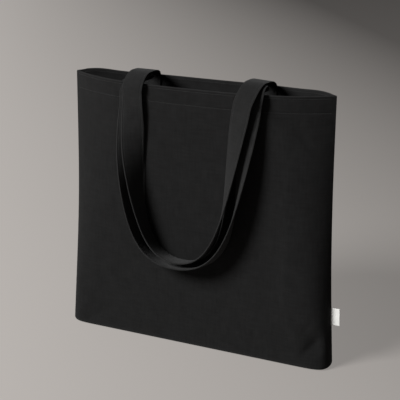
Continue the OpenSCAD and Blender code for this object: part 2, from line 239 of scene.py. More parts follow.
# From above, the bag is a lens at the mouth and nearly a rectangle at the base
MOUTH_POWER, BASE_POWER = 3.5, 30
# The back rim stands up most at this distance from the middle, and more on the left
REAR_LIFT, REAR_LIFT_X, REAR_LIFT_REACH = {-1: 3.4, 1: 2.0}, 172, 26
REAR_LIFT_FROM, REAR_LIFT_SEAM = 300, 14


def up(s):
    """The share of the wall's height that lies below s."""
    return s / BAG_H


def open_w(s):
    """Half the bag's width at height s."""
    return BASE_W / 2 + (MOUTH_W - BASE_W) / 2 * up(s) - WAIST_PULL * math.sin(math.pi * up(s))


def open_d(s):
    """Half the bag's depth at height s."""
    return BASE_D / 2 + (MOUTH_D - BASE_D) / 2 * up(s)


def depth(c, s, inset):
    """Distance from the bag's middle plane at the share c of its half width."""
    power = MOUTH_POWER + (BASE_POWER - MOUTH_POWER) * max(0, 1 - up(s)) ** 3
    return (open_d(s) - inset) * max(0, 1 - min(1, abs(c)) ** power) ** (0.5 + 0.5 * up(s))


def skin(x, s, inset=0):
    """Distance from the bag's middle plane at x, on a ply that lies inset inside the outer face."""
    fold = 0 if s >= FOLD_R else FOLD_R - math.sqrt(FOLD_R**2 - (FOLD_R - s) ** 2)
    w = open_w(s) - fold - inset * (1 + TIP_ROOM * up(s) ** 2)
    return depth(x / w, s, inset + fold)


def rim(x):
    """Height of the rim at x."""
    return BAG_H - RIM_SAG * (1 - min(1, abs(x) / (MOUTH_W / 2)) ** 2)


def rear_lift(x, s, wall):
    """How far the back panel's rim stands up near its ends, where nothing pulls it down."""
    if wall < 0:
        return 0
    most = REAR_LIFT[1 if x > 0 else -1]
    near_seam = min(1, max(0, open_w(s) - abs(x)) / REAR_LIFT_SEAM)
    high = max(0, (s - REAR_LIFT_FROM) / (BAG_H - REAR_LIFT_FROM)) ** 2
    return most * near_seam * high * math.exp(-(((abs(x) - REAR_LIFT_X) / REAR_LIFT_REACH) ** 2))


print("rim at its lowest:", rim(0), "mm; mouth", round(2 * open_d(BAG_H)), "mm deep")

# %% [markdown]
# ## Cloth from a grid
#
# A woven cloth is a flat grid of threads, so each ply starts as a flat grid of faces. Every corner is
# then moved to where the sewn cloth lies, and its UV keeps the place it had on the flat cloth, in
# metres. The weave in the materials reads that UV, so its threads follow every fold.

# %% A grid that becomes a cloth
def shaped_grid(cols, rows, place, lay_flat, wear=None):
    """A bmesh grid of cols x rows faces. place(i, j) is each corner's place in millimetres,
    lay_flat(i, j) its place on the flat cloth in millimetres, and wear(i, j) how worn it is, 0 to 1."""
    bm = bmesh.new()
    bmesh.ops.create_grid(bm, x_segments=cols, y_segments=rows, size=1)
    weave = bm.loops.layers.uv.new("weave")
    worn = bm.verts.layers.float.new("wear")
    index = {v: (round((v.co.x + 1) / 2 * cols), round((v.co.y + 1) / 2 * rows)) for v in bm.verts}
    for face in bm.faces:
        face.smooth = True
        for loop in face.loops:
            loop[weave].uv = Vector(lay_flat(*index[loop.vert])) * MM
    for v, (i, j) in index.items():
        v.co = place(i, j) * MM
        v[worn] = wear(i, j) if wear else 0
    return bm


def as_object(name, bm, *materials):
    """The finished bmesh as an object of the scene."""
    mesh = bpy.data.meshes.new(name)
    bm.to_mesh(mesh)
    bm.free()
    for m in materials:
        mesh.materials.append(m)
    made = bpy.data.objects.new(name, mesh)
    bpy.context.scene.collection.objects.link(made)
    return made


def give_thickness(piece, thickness):
    """Solidify turns a single ply into a closed one, half of it on each side."""
    solid = piece.modifiers.new("ply", "SOLIDIFY")
    solid.thickness = thickness * MM
    solid.offset = 0
    return piece


def running_lengths(points):
    """Length along a line of points up to each of them."""
    total = [0.0]
    for a, b in zip(points, points[1:]):
        total.append(total[-1] + (b - a).length)
    return total


# %% [markdown]
# ## One stitch
#
# A lockstitch shows as a row of short, fat grains of thread, each pulled into the cloth at its ends. A
# small sphere, stretched along the seam and flattened, is enough for each, and thousands stay light.

# %% One grain of thread
STITCH_LONG, STITCH_WIDE, STITCH_HIGH = 2.3, 0.75, 0.5
STITCH_PITCH = 3.1


def one_grain():
    """The mesh that every stitch is a copy of."""
    bm = bmesh.new()
    bmesh.ops.create_uvsphere(bm, u_segments=6, v_segments=4, radius=1)
    for face in bm.faces:
        face.smooth = True
    mesh = bpy.data.meshes.new("grain")
    bm.to_mesh(mesh)
    bm.free()
    return mesh


GRAIN = one_grain()
print("a stitch has", len(GRAIN.polygons), "faces")

# %% Rows of stitches
def stitch_at(centre, along, out, long=STITCH_LONG):
    """Where a grain of thread lies: at centre, along a direction, on a face that points out."""
    x = along.normalized()
    z = (out - x * out.dot(x)).normalized()
    axes = Matrix((x * long / 2, z.cross(x) * STITCH_WIDE / 2, z * STITCH_HIGH / 2)).transposed().to_4x4()
    return Matrix.Translation(centre * MM) @ Matrix.Scale(MM, 4) @ axes


def add_stitches(bm, places, material=0):
    """Adds one grain at each place. They are made by themselves and joined at the end, which is faster."""
    row, each = bmesh.new(), len(GRAIN.vertices)
    for _ in places:
        row.from_mesh(GRAIN)
    row.verts.ensure_lookup_table()
    for k, place in enumerate(places):
        for v in row.verts[k * each : (k + 1) * each]:
            v.co = place @ v.co
    for face in row.faces:
        face.material_index = material
    passing = bpy.data.meshes.new("row")
    row.to_mesh(passing)
    row.free()
    bm.from_mesh(passing)
    bpy.data.meshes.remove(passing)


def stitch_line(bm, spots, pitch=STITCH_PITCH, material=0):
    """A row of stitches along a line of spots, each a point and the direction out of the face there."""
    points, outs = zip(*spots)
    lengths = running_lengths(points)
    count = max(1, round(lengths[-1] / pitch))
    places, k = [], 0
    for n in range(count):
        want = lengths[-1] * (n + 0.5) / count
        while k < len(points) - 2 and lengths[k + 1] < want:
            k += 1
        share = (want - lengths[k]) / max(1e-9, lengths[k + 1] - lengths[k])
        centre = points[k].lerp(points[k + 1], share)
        places.append(stitch_at(centre, points[k + 1] - points[k], outs[k].lerp(outs[k + 1], share)))
    add_stitches(bm, places, material)


# %% [markdown]
# ## The materials
#
# The panels are cotton duck, a plain weave of thick yarn that is dyed black. It is matte, with a soft
# sheen at grazing angles from its loose fibres. Thicker places in the yarn, called slubs, run along
# single threads both ways. Where the cloth is folded or rubbed, the dye is a little paler.

# %% Colour and one helper for nodes
def linear(hex_colour):
    """An sRGB hex colour as the linear values that Blender works with."""
    values = [int(hex_colour[i : i + 2], 16) / 255 for i in (1, 3, 5)]
    return tuple(v / 12.92 if v <= 0.04045 else ((v + 0.055) / 1.055) ** 2.4 for v in values) + (1,)


def add(tree, kind, inputs=None, **settings):
    """One node, with its settings, and a value or a link for each input that is named."""
    made = tree.nodes.new(kind)
    for name, value in settings.items():
        setattr(made, name, value)
    for name, value in (inputs or {}).items():
        if isinstance(value, bpy.types.NodeSocket):
            tree.links.new(value, made.inputs[name])
        else:
            made.inputs[name].default_value = value
    return made


# %% [markdown]
# The weave is made from two sine waves, one across the warp and one across the weft. Their product
# rises and falls like the threads of a plain weave, where each goes over one and under the next. Two
# long, thin noises, one for each set of threads, give the slubs.

# %% A woven cotton
# Sizes in millimetres: 60 uneven patches of dye to the metre, and 900 specks of lint
PATCH, LINT = 1000 / 60, 1000 / 900
# How much paler the cloth is on the crowns of its threads, on a patch of dye, and where it is worn
CROWN_SHARE, PATCH_SHARE, WEAR_SHARE = 0.3, 0.5, 1.1
YARN_HEIGHT = 0.6


def woven_cotton(name, dark, pale, thread, weave_depth, sheen, slub=0.5, twill=0.0):
    """A matte woven cloth. thread is the thread spacing in millimetres, and twill slants the weave."""
    made = bpy.data.materials.new(name)
    made.use_nodes = True
    tree = made.node_tree
    shader = tree.nodes["Principled BSDF"]
    flat = add(tree, "ShaderNodeUVMap", uv_map="weave").outputs["UV"]
    threads = add(tree, "ShaderNodeVectorMath", {0: flat, "Scale": 1 / (thread * MM)}, operation="SCALE")
    apart = add(tree, "ShaderNodeSeparateXYZ", {0: threads.outputs["Vector"]})
    across, along = apart.outputs["X"], apart.outputs["Y"]
    slanted = add(tree, "ShaderNodeMath", {0: across, 1: twill, 2: along}, operation="MULTIPLY_ADD")
    waves = []
    for place in (across, slanted.outputs[0]):
        half_turns = add(tree, "ShaderNodeMath", {0: place, 1: math.pi}, operation="MULTIPLY")
        waves.append(add(tree, "ShaderNodeMath", {0: half_turns.outputs[0]}, operation="SINE").outputs[0])
    product = add(tree, "ShaderNodeMath", {0: waves[0], 1: waves[1]}, operation="MULTIPLY")
    crowns = add(tree, "ShaderNodeMath", {0: product.outputs[0]}, operation="ABSOLUTE")
    slubs = []
    for stretch in ((0.55, 0.05, 1), (0.06, 0.5, 1)):
        long = add(tree, "ShaderNodeMapping", {"Vector": threads.outputs["Vector"], "Scale": stretch})
        soft = {"Vector": long.outputs["Vector"], "Scale": 1.0, "Detail": 2.0, "Roughness": 0.6}
        slubs.append(add(tree, "ShaderNodeTexNoise", soft).outputs["Fac"])
    yarn = add(tree, "ShaderNodeMath", {0: slubs[0], 1: slubs[1]}, operation="ADD")
    here = add(tree, "ShaderNodeTexCoord").outputs["Object"]
    broad = {"Vector": here, "Scale": 1 / (PATCH * MM), "Detail": 5.0, "Roughness": 0.65}
    patches = add(tree, "ShaderNodeTexNoise", broad)
    worn = add(tree, "ShaderNodeAttribute", attribute_name="wear").outputs["Fac"]
    lint = add(tree, "ShaderNodeTexNoise", {"Vector": here, "Scale": 1 / (LINT * MM), "Detail": 1.0})
    rubbed = add(tree, "ShaderNodeMath", {0: worn, 1: lint.outputs["Fac"]}, operation="MULTIPLY")
    # The share of the pale colour starts below nothing, and each of these adds its own
    paler = -0.5 * slub - 0.2
    for part, much in (
        (yarn.outputs[0], slub),
        (crowns.outputs[0], CROWN_SHARE),
        (patches.outputs["Fac"], PATCH_SHARE),
        (rubbed.outputs[0], WEAR_SHARE),
    ):
        share = add(tree, "ShaderNodeMath", {0: part, 1: much, 2: paler}, operation="MULTIPLY_ADD")
        paler = share.outputs[0]
    share.use_clamp = True
    shades = {0: paler, 6: linear(dark), 7: linear(pale)}
    colour = add(tree, "ShaderNodeMix", shades, data_type="RGBA")
    tree.links.new(colour.outputs[2], shader.inputs["Base Color"])
    raised = {0: yarn.outputs[0], 1: YARN_HEIGHT, 2: crowns.outputs[0]}
    height = add(tree, "ShaderNodeMath", raised, operation="MULTIPLY_ADD").outputs[0]
    bump = add(tree, "ShaderNodeBump", {"Strength": 0.6, "Distance": weave_depth * MM, "Height": height})
    tree.links.new(bump.outputs["Normal"], shader.inputs["Normal"])
    shader.inputs["Roughness"].default_value = 0.92
    shader.inputs["Specular IOR Level"].default_value = 0.08
    shader.inputs["Sheen Weight"].default_value = sheen
    shader.inputs["Sheen Roughness"].default_value = 0.55
    return made


# %% The four cloths of the bag
# Real duck has a thread about every 0.6 mm; the weave is drawn at 1.4 mm so that it shows
canvas = woven_cotton(
    "cotton_duck_black", "#0c0c0c", "#212121", thread=1.4, weave_depth=0.35, sheen=0.04
)
# The handles are the same cloth, folded to four plies and pressed, so their weave is flatter
strap_canvas = woven_cotton(
    "cotton_duck_folded_strap", "#0e0e0e", "#262626", thread=1.3, weave_depth=0.3, sheen=0.06
)
# Woven edge ribbon: fine polyester satin, white, with threads too fine to show as they are
ribbon = woven_cotton(
    "polyester_ribbon_white", "#d6d5d2", "#f3f2ef", thread=0.9, weave_depth=0.08, sheen=0.05,
    slub=0.3, twill=1.0,
)
# Spun thread is fuzzy, so it has more sheen than the cloth that it holds
thread = woven_cotton(
    "spun_polyester_thread_black", "#141414", "#292929", thread=0.5, weave_depth=0.1, sheen=0.2
)
print("materials:", [m.name for m in (canvas, strap_canvas, ribbon, thread)])

# %% [markdown]
# ## Where the cloth isn't flat
#
# Soft cloth is never smooth. Stitching pulls it in along each row, the side seams pucker, the boxed
# corners gather small creases, and a broad, shallow wave runs through each panel. These are only a
# millimetre or so high, but they are what the light catches on a black cloth.

# %% Creases of the corners
CREASE_REACH = 5.5
CORNER_CREASES = (
    # side, start from the seam, its height, end from the seam, its height, height of the crease
    (1, 36, 19, 9, 50, -2.6),
    (1, 24, 6, 3, 30, 1.3),
    (1, 34, 52, 14, 84, -1.1),
    (1, 48, 342, 16, 306, -1.5),
    (1, 34, 354, 8, 326, 0.8),
    (-1, 8, 10, 40, 50, 0.9),
    (-1, 22, 9, 64, 26, -0.7),
)


def from_line(x, s, x0, s0, x1, s1):
    """Distance from a line between two points, and the share along it, both for a crease."""
    run = Vector((x1 - x0, s1 - s0))
    share = (Vector((x - x0, s - s0)).dot(run)) / run.length_squared
    foot = Vector((x0, s0)) + run * min(1, max(0, share))
    return (Vector((x, s)) - foot).length, share


def corner_creases(x, s, side):
    """Height of all creases on one side of a panel. Each is highest a little before its middle."""
    out = 0
    for crease_side, from_x, low, to_x, high, tall in CORNER_CREASES:
        if crease_side == side:
            sign = 1 if x > 0 else -1
            x0, x1 = sign * (open_w(low) - from_x), sign * (open_w(high) - to_x)
            away, share = from_line(x, s, x0, low, x1, high)
            out += tall * math.exp(-((away / CREASE_REACH) ** 2)) * math.exp(-((share - 0.4) ** 2) * 3)
    return out


print("creases:", len(CORNER_CREASES), "on each panel")

# %% [markdown]
# The front also stands a little fuller before it falls back to the right seam, and a dent is pushed
# into it above the lower right corner. The hem is stiffer than the wall, with a dip along each row of
# stitches. Where the handles rest against the cloth, it can't stand out into them.

# %% Relief of a panel
# Waves as height, length across, length up the wall and seed
PANEL_WAVES = ((1.5, 105, 140, 5.3), (0.5, 33, 47, 9.1))
WAVE_FADE = 30
PUCKER_H, PUCKER_PITCH, PUCKER_REACH = 0.9, 6.5, 9
SWELL_H, SWELL_IN, SWELL_FADE = 3.2, 28, 60
DENT_H, DENT_IN, DENT_UP, DENT_WIDE, DENT_TALL = 6.8, 15, 36, 15, 24
HEM_RIPPLE, HEM_RIPPLE_PITCH, ROW_DIP, ROW_REACH = 0.28, 5.5, 0.38, 1.3
HANDLES_X, HANDLES_X_FADE, HANDLES_LOW, HANDLES_LOW_FADE = 120, 30, 110, 20


def relief(x, s, wall):
    """How far a panel stands out from its smooth shape in mm. wall is -1 in front and 1 behind."""
    to_seam = max(0, open_w(s) - abs(x))
    side = 1 if x > 0 else -1
    body = min(1, max(0, (HEM_S - 6 - s) / 50)) * min(1, s / WAVE_FADE) * min(1, to_seam / WAVE_FADE)
    out = 0
    for high, wide, tall, seed in PANEL_WAVES:
        out += high * noise.noise(Vector((x / wide, s / tall, seed * wall))) * body
    pucker = PUCKER_H * noise.noise(Vector((side * 3.1, s / PUCKER_PITCH, wall)))
    out += pucker * math.exp(-to_seam / PUCKER_REACH) * min(1, to_seam / 2)
    out += corner_creases(x, s, -wall * side)
    if wall == -1 and side > 0:
        swell = SWELL_H * (to_seam / SWELL_IN) * math.exp(1 - to_seam / SWELL_IN)
        out += swell * min(1, s / SWELL_FADE) * min(1, max(0, HEM_S - s) / SWELL_FADE)
        dent = math.exp(-(((to_seam - DENT_IN) / DENT_WIDE) ** 2) - (((s - DENT_UP) / DENT_TALL) ** 2))
        out -= DENT_H * dent * (1 - math.exp(-to_seam / 6))
    hem = min(1, max(0, (s - HEM_S + 1) / 4))
    out += hem * HEM_RIPPLE * noise.noise(Vector((x / HEM_RIPPLE_PITCH, s / 30, 2 + wall)))
    for row in STITCH_ROWS:
        out -= ROW_DIP * math.exp(-(((s - row) / ROW_REACH) ** 2))
    if wall == -1 and abs(x) < HANDLES_X + HANDLES_X_FADE and s > HANDLES_LOW - HANDLES_LOW_FADE:
        free = max(0, (abs(x) - HANDLES_X) / HANDLES_X_FADE, (HANDLES_LOW - s) / HANDLES_LOW_FADE)
        out = min(out, 0.25 + 3.5 * free**2)
    return out


print("the dent is pushed in", -round(relief(open_w(DENT_UP) - DENT_IN, DENT_UP, -1), 1), "mm")

# %% [markdown]
# ## The two panels
#
# Each panel is one cut of canvas. It starts with a raw edge tucked up inside the hem, goes down to the
# hem's fold, back up to the rim, over it, down the outside and round the base's edge to the seam under
# the bag. So its rows follow that path, close together in the folds, and its columns run from one
# side seam to the other and then turn in between the seam's plies.

# %% The path of a panel, as rows of (height, inset from the outer face)
OUTER_IN, TUCK_IN, INNER_IN = 0.45, 1.35, 2.25
RIM_FOLD_S, WALL_STEPS, BASE_ROWS = BAG_H - 1.3, 118, 5


def arc(centre_s, centre_in, radius, start, stop, steps):
    """Rows round a fold. At 0 degrees a row is towards the inside of the bag, at 90 on top."""
    turn = [math.radians(start + (stop - start) * k / steps) for k in range(steps + 1)]
    return [(centre_s + radius * math.sin(a), centre_in + radius * math.cos(a)) for a in turn]


def between(a, b, steps):
    """Rows evenly spaced between two others, which are left out."""
    return [(a[0] + (b[0] - a[0]) * k / steps, a[1] + (b[1] - a[1]) * k / steps) for k in range(1, steps)]


rim_fold = arc(RIM_FOLD_S, (OUTER_IN + INNER_IN) / 2, (INNER_IN - OUTER_IN) / 2, 0, 180, 8)
hem_fold = arc(HEM_S + 0.45, (TUCK_IN + INNER_IN) / 2, (INNER_IN - TUCK_IN) / 2, 180, 360, 6)
base_fold = arc(FOLD_R, FOLD_R, FOLD_R - OUTER_IN, 180, 270, 7)
# Extra rows follow the dip along each row of stitches
fine_rows = {row + step for row in STITCH_ROWS for step in (1.6, 0.8, 0, -0.8, -1.6)}
even_rows = {round(FOLD_R + (RIM_FOLD_S - FOLD_R) * k / WALL_STEPS, 3) for k in range(1, WALL_STEPS)}
wall_rows = sorted(even_rows | fine_rows, reverse=True)
panel_rows = (
    [(HEM_S + 10, TUCK_IN), (HEM_S + 5, TUCK_IN)]
    + hem_fold
    + between(hem_fold[-1], rim_fold[0], 14)
    + rim_fold
    + [(s, OUTER_IN) for s in wall_rows]
    + base_fold
)
print("a panel has", len(panel_rows), "rows from its raw edge to the base")

# %% [markdown]
# The columns are closer together towards the side seams, where the cloth curves most. At its sides the
# panel turns in by a few millimetres more, into the seam. Under the bag it narrows a little.

# %% A panel
COLUMNS, TURN_IN = 176, (1.0, 2.6)
SEAM_CUT, BASE_TAPER = 9, 0.004
RIM_WEAR, SEAM_WEAR, BASE_WEAR = 0.9, 0.5, 0.6


def panel_point(c, s, inset, wall, turned_in=0):
    """A point on the panel's middle surface, at the share c of its half width."""
    w = open_w(s) - inset * (1 + TIP_ROOM * up(s) ** 2)
    x = c * w
    y = depth(c, s, inset) + relief(x, s, wall) * (1 - abs(c) ** 40)
    x -= math.copysign(turned_in, c)
    return Vector((x, wall * max(y, CANVAS_T / 2 + PLY_GAP / 2), s * rim(x) / BAG_H + rear_lift(x, s, wall)))


def panel(name, wall):
    """One panel with its hem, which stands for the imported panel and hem."""
    columns = [math.sin(math.pi * (j / COLUMNS - 0.5)) for j in range(COLUMNS + 1)]
    turns = [(-1, t) for t in reversed(TURN_IN)] + [(c, 0) for c in columns] + [(1, t) for t in TURN_IN]
    edge_y = BASE_SEAM_Y - PLY_GAP / 2 + wall * (CANVAS_T / 2 + PLY_GAP)

    def place(i, j):
        c, turned_in = turns[i]
        if j < len(panel_rows):
            return panel_point(c, *panel_rows[j], wall, turned_in)
        # Under the bag the rows run from the base's edge to the seam
        share = (j - len(panel_rows) + 1) / BASE_ROWS
        start = panel_point(c, *panel_rows[-1], wall, turned_in)
        return Vector((start.x * (1 - BASE_TAPER * share), start.y + (edge_y - start.y) * share, start.z))

    middle = [panel_point(c, BAG_H / 2, OUTER_IN, wall, t) for c, t in turns]
    widths = running_lengths(middle)
    lengths = running_lengths([place(len(turns) // 2, j) for j in range(len(panel_rows) + BASE_ROWS)])

    def wear(i, j):
        s, inset = panel_rows[min(j, len(panel_rows) - 1)]
        on_rim = math.exp(-(((BAG_H - s) / 1.5) ** 2))
        on_seam = math.exp(-(((len(turns) / 2 - abs(i - len(turns) / 2)) / 3) ** 2))
        on_base = math.exp(-(((s - 3) / 3) ** 2)) if j < len(panel_rows) else 0.3
        return min(1, RIM_WEAR * on_rim + SEAM_WEAR * on_seam + BASE_WEAR * on_base)

    bm = shaped_grid(
        len(turns) - 1,
        len(panel_rows) + BASE_ROWS - 1,
        place,
        lambda i, j: (widths[i], lengths[j]),
        wear,
    )
    made = give_thickness(as_object(name, bm, canvas), CANVAS_T)
    cut_w, cut_l = widths[-1] + 2 * SEAM_CUT, lengths[-1] + SEAM_CUT
    print(name, "is cut", round(cut_w), "x", round(cut_l), "mm with its seam allowances")
    return made, cut_w * MM, cut_l * MM


bag_panels = {}
for wall_name, wall in (("front", -1), ("back", 1)):
    made, cut_w, cut_l = panel(wall_name + "_panel_cloth", wall)
    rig.ride(made, "bag")
    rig.replaces(made, wall_name + "_panel", wall_name + "_hem")
    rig.slot(made, "black_canvas")
    bag_panels[wall] = made, cut_w, cut_l

# %% [markdown]
# ## The seams inside
#
# Inside the bag the two plies of each seam lie together as a narrow flat strip, trimmed and overcast
# with thread so that it doesn't fray. Where the side seams meet the base, the boxed corners are folded
# flat on the base as small triangles. Each is a grid too, and the strips have their overcasting as
# slanted stitches.

# %% A seam strip with its overcasting
ALLOWANCE_W, ALLOWANCE_T, SEAM_PLY_T = 11, 2, 1.7
# Slanted stitches go over the edge, and a straight row beside them holds the plies together
OVER_PITCH, OVER_AT, OVER_LONG, OVER_SLANT = 2.6, 3.2, 4.2, 0.35
STRAIGHT_AT, STRAIGHT_LONG = 1.0, 2.0


def overcast_strip(name, node, centre_line, across, out, wave_seed):
    """A two-ply strip along centre_line, whose far edge is overcast. across points to that edge."""
    steps = len(centre_line) - 1
    lengths = running_lengths(centre_line)
    columns = (-1, -0.6, -0.2, 0.2, 0.6, 0.88, 1)

    def place(i, j):
        ripple = 0.5 * noise.noise(Vector((lengths[j] / 14, columns[i], wave_seed)))
        edge = 0.35 * noise.noise(Vector((lengths[j] / 5, 3, wave_seed))) * (columns[i] > 0.9)
        return centre_line[j] + across * (columns[i] * (ALLOWANCE_W / 2 - 0.4) + edge) + out * ripple * 0.35

    bm = shaped_grid(
        len(columns) - 1,
        steps,
        place,
        lambda i, j: (columns[i] * ALLOWANCE_W / 2, lengths[j]),
        lambda i, j: 0.7 if columns[i] > 0.8 else 0.1,
    )
    strip = give_thickness(as_object(name, bm, canvas), SEAM_PLY_T)
    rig.ride(strip, "bag")
    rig.replaces(strip, node)
    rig.slot(strip, "black_canvas")
    bm = bmesh.new()
    for face in (1, -1):
        places, count = [], round(lengths[-1] / OVER_PITCH)
        for n in range(count):
            j = (n + 0.5) / count * steps
            k = min(steps - 1, int(j))
            middle = centre_line[k].lerp(centre_line[k + 1], j - k)
            along = (centre_line[k + 1] - centre_line[k]).normalized()
            surface = out * face * (SEAM_PLY_T / 2 + 0.05)
            slanted = across + along * OVER_SLANT
            for at, line, long in ((OVER_AT, slanted, OVER_LONG), (STRAIGHT_AT, along, STRAIGHT_LONG)):
                places.append(stitch_at(middle + across * at + surface, line, out * face, long))
        add_stitches(bm, places)
    overcast = as_object(name + "_overcasting", bm, thread)
    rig.ride(overcast, "bag")
    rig.slot(overcast, "black_thread")
    print(name, "has", len(overcast.data.polygons) // len(GRAIN.polygons), "stitches")
    return strip, overcast


# %% The side seams
SEAM_SET_IN, SEAM_STEPS = 0.8, 90
seam_low = CLOTH_T + ALLOWANCE_T + 3 * PLY_GAP + FOLD_R
seam_high = HEM_S - 1
seam_pieces = []


def seam_x(s):
    """Distance of a side seam's strip from the bag's middle at height s."""
    return open_w(s) - CLOTH_T * (1 + TIP_ROOM * up(s) ** 2) - ALLOWANCE_T - SEAM_SET_IN - ALLOWANCE_W / 2


for side, side_name in ((-1, "left"), (1, "right")):
    heights = [seam_low + (seam_high - seam_low) * k / SEAM_STEPS for k in range(SEAM_STEPS + 1)]
    line = [Vector((side * seam_x(s), 0, s)) for s in heights]
    name, node = side_name + "_seam_allowance", side_name + "_side_seam"
    seam_pieces += overcast_strip(name, node, line, Vector((-side, 0, 0)), Vector((0, 1, 0)), side)

# %% The base seam
base_top = CLOTH_T + PLY_GAP
seam_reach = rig.box("bottom_seam")[1].x / MM - 0.5
base_line = [Vector((x * seam_reach / 40, BASE_SEAM_Y, base_top + ALLOWANCE_T / 2)) for x in range(-40, 41)]
seam_pieces += overcast_strip(
    "base_seam_allowance", "bottom_seam", base_line, Vector((0, 1, 0)), Vector((0, 0, 1)), 7
)

# %% The folded corners
CORNER_IN, CORNER_TIP = 0.4, 0.3


def corner_triangle(name, node, side):
    """A boxed corner folded flat: a grid whose rows shrink to the triangle's point."""
    low, high = (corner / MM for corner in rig.box(node))
    wide_x, point_x = (high.x, low.x) if side > 0 else (low.x, high.x)
    rows, cols = 10, 12

    def place(i, j):
        share = j / rows
        half = (high.y - CORNER_IN) * (1 - share) + CORNER_TIP
        lift = 0.25 * noise.noise(Vector((i / 3, share * 3, side)))
        x = wide_x - side * CORNER_IN + (point_x - wide_x + side * 2 * CORNER_IN) * share
        return Vector((x, half * (2 * i / cols - 1), base_top + ALLOWANCE_T / 2 + 0.1 + lift * 0.4))

    bm = shaped_grid(cols, rows, place, lambda i, j: (place(i, j).x, place(i, j).y), lambda i, j: 0.3)
    made = give_thickness(as_object(name, bm, canvas), SEAM_PLY_T)
    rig.ride(made, "bag")
    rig.replaces(made, node)
    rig.slot(made, "black_canvas")
    return made


for side, side_name in ((-1, "left"), (1, "right")):
    seam_pieces.append(corner_triangle(side_name + "_folded_corner", side_name + "_corner_fold", side))
print("seam pieces:", len(seam_pieces))

# %% [markdown]
# ## The hem's stitching
#
# Two rows hold each hem, one just under the rim and one just above the hem's lower fold. Both sides of
# the cloth show them: the needle thread outside and the bobbin thread inside.

# %% Hem rows
ROW_END, ROW_SPOTS, THREAD_LIFT = 6, 260, 0.08


def wall_place(x, s, wall, inset, lift):
    """A point on a ply of the panel with its outward direction. lift moves it out from the ply."""

    def at(px, ps):
        w = open_w(ps) - inset * (1 + TIP_ROOM * up(ps) ** 2)
        return panel_point(max(-1, min(1, px / w)), ps, inset, wall)

    here = at(x, s)
    out = (at(x + 1, s) - at(x - 1, s)).cross(at(x, s + 1) - at(x, s - 1)).normalized()
    if out.y * wall < 0:
        out = -out
    return here + out * lift, out


def hem_rows(bm, wall):
    """Both rows, on the outer ply and on the inner one."""
    for s in STITCH_ROWS:
        reach = open_w(s) - ROW_END
        across = [-reach + 2 * reach * k / ROW_SPOTS for k in range(ROW_SPOTS + 1)]
        for inset, face in ((OUTER_IN, 1), (INNER_IN, -1)):
            lift = face * (CANVAS_T / 2 + THREAD_LIFT)
            spots = [wall_place(x, s, wall, inset, lift) for x in across]
            stitch_line(bm, [(p, out * face) for p, out in spots])


for wall_name, wall in (("front", -1), ("back", 1)):
    bm = bmesh.new()
    hem_rows(bm, wall)
    rows = as_object(wall_name + "_hem_stitches", bm, thread)
    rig.ride(rows, "bag")
    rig.replaces(rows, wall_name + "_hem_stitching")
    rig.slot(rows, "black_thread")
    print(rows.name, len(rows.data.polygons), "faces")

# %% [markdown]
# ## The handles
#
# Each handle is one long strap of canvas, folded to four plies and stitched along both edges. It is
# sewn flat inside the hem, rises over the rim, hangs down outside the front panel and turns edge on
# towards the bottom of its loop. A strap is hard to bend with tools that only know its outline, so it is
# built along a path of stations, each with a middle point, a direction across and a face direction.
# Values that differ between the two sides of the bag are kept by side, -1 on the left and 1 on the
# right. The right legs leave the rim a little turned, and every leg ends just past edge on.

# %% Where the handles run
RIM_Z = rim(STRAP_X)
HEM_INNER = CLOTH_T + PLY_GAP + HEM_T
TAIL_H, BACK_DROP, LOOP_STEP, ARCH_RISE = 38, 248.5, 9, 13.5
BACK_X, FRONT_X = {-1: -STRAP_X - 6, 1: STRAP_X - 3}, {-1: -STRAP_X, 1: STRAP_X}
LEG_STEPS, ARCH_STEPS = 32, 10
OVER_LIFT = STRAP_T + OVER_GAP
BACK_TURN, FRONT_TURN, LOW_TURN = {-1: 0, 1: 24}, {-1: 0, 1: 13}, 100
LEG_TOP, TWIST_TOP, TWIST_EASE = RIM_Z - 14, RIM_Z - 24, 0.08
CREST_BACK, CREST_ASIDE, CREST_Z = {-1: 25, 1: 28}, {-1: 8, 1: 7.5}, RIM_Z + ARCH_RISE
LEFT_STAND_OFF, FRONT_RIGHT_STAND_OFF = 3, 0.35
STAND_OFF_Z, STAND_OFF_REACH = RIM_Z - 31, 28
print("the loops hang", BACK_DROP, "mm and", BACK_DROP + LOOP_STEP, "mm below the rim")


# %% Curves, and the face of the hem
def mix(a, b, k):
    """The value at share k of the way from a to b."""
    return a + (b - a) * k


def bezier(p, t):
    """The point at share t of a curve with four control points."""
    return (1 - t) ** 3 * p[0] + 3 * (1 - t) ** 2 * t * p[1] + 3 * (1 - t) * t * t * p[2] + t**3 * p[3]


def sampled(points, steps):
    """Points at equal shares along such a curve."""
    return [bezier(points, k / steps) for k in range(steps + 1)]


def hem_face(x, z):
    """Distance of the hem's inner face from the bag's middle plane."""
    return skin(x, z * BAG_H / RIM_Z, HEM_INNER)


def tail_slope(x):
    """Slope across a sewn end, from its inner edge to its outer edge."""
    return (hem_face(abs(x) + STRAP_W / 2, RIM_Z) - hem_face(abs(x) - STRAP_W / 2, RIM_Z)) / STRAP_W


def tail_y(x, z):
    """Where a sewn end lies: flat across the hem's curve, so its middle stands off a little."""
    sides = hem_face(abs(x) + STRAP_W / 2, z) + hem_face(abs(x) - STRAP_W / 2, z)
    return sides / 2 - 0.15 - PLY_GAP - STRAP_T / 2


def width_at(x, back):
    """The direction across a strap at x. back is 1 on the back panel and -1 on the front."""
    return Vector((math.copysign(1, x), back * tail_slope(x), 0)).normalized()


def turned(across, angle):
    """The direction across a strap, turned edge on by an angle in degrees."""
    return across * math.cos(math.radians(angle)) - Vector((0, math.sin(math.radians(angle)), 0))


print("the hem's inner face is", round(hem_face(STRAP_X, RIM_Z), 1), "mm from the middle at the handles")

